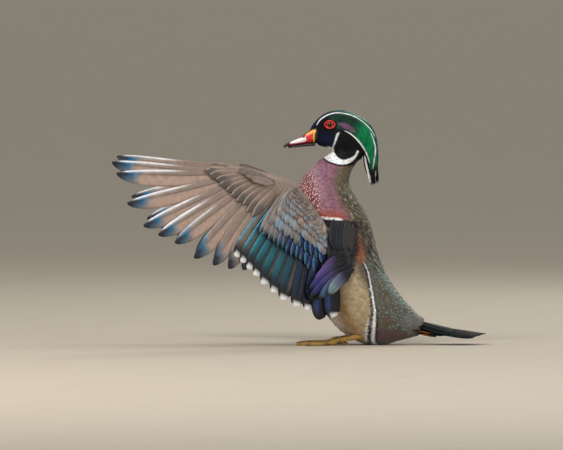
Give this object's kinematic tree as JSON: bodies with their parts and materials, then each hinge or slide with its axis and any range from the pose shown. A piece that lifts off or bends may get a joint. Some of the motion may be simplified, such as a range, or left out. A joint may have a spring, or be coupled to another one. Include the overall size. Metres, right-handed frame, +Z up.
{
  "type": "wood duck model",
  "caption": "Life-size still model of a drake wood duck rearing up on its feet, crest hanging, wings thrown forward, tail laid back.",
  "frame": {"origin": "middle of the small flat under the hind belly, on the floor", "axes": "+Z up, the bill points along -X, the tail along +X, the left wing is on the -Y side"},
  "size_m": [0.4535, 0.3388, 0.2865],
  "materials": {
    "plumage_body": "soft feathers, buff flank, chestnut breast, bronze back",
    "plumage_head": "silky iridescent green and black feathers with white lines",
    "bill": "smooth horn, red base, white side, black ridge",
    "bill_dark": "smooth dark horn",
    "eye": "wet gloss, red iris, black pupil",
    "wing_feathers": "brown vanes, white outer edges, blue-green gloss",
    "tail_feathers": "black vanes with a faint green gloss",
    "leg_skin": "scaled dull yellow skin, dusky webs"
  },
  "bodies": {
    "root": {"torso": "plumage_body", "neck": "plumage_body", "head": "plumage_head", "crest": "plumage_head", "bill_upper": "bill", "bill_lower": "bill_dark", "eye_left": "eye", "eye_right": "eye", "wing_left": "wing_feathers", "wing_right": "wing_feathers", "tail": "tail_feathers", "leg_left": "leg_skin", "leg_right": "leg_skin", "foot_left": "leg_skin", "foot_right": "leg_skin"}
  },
  "joints": []
}
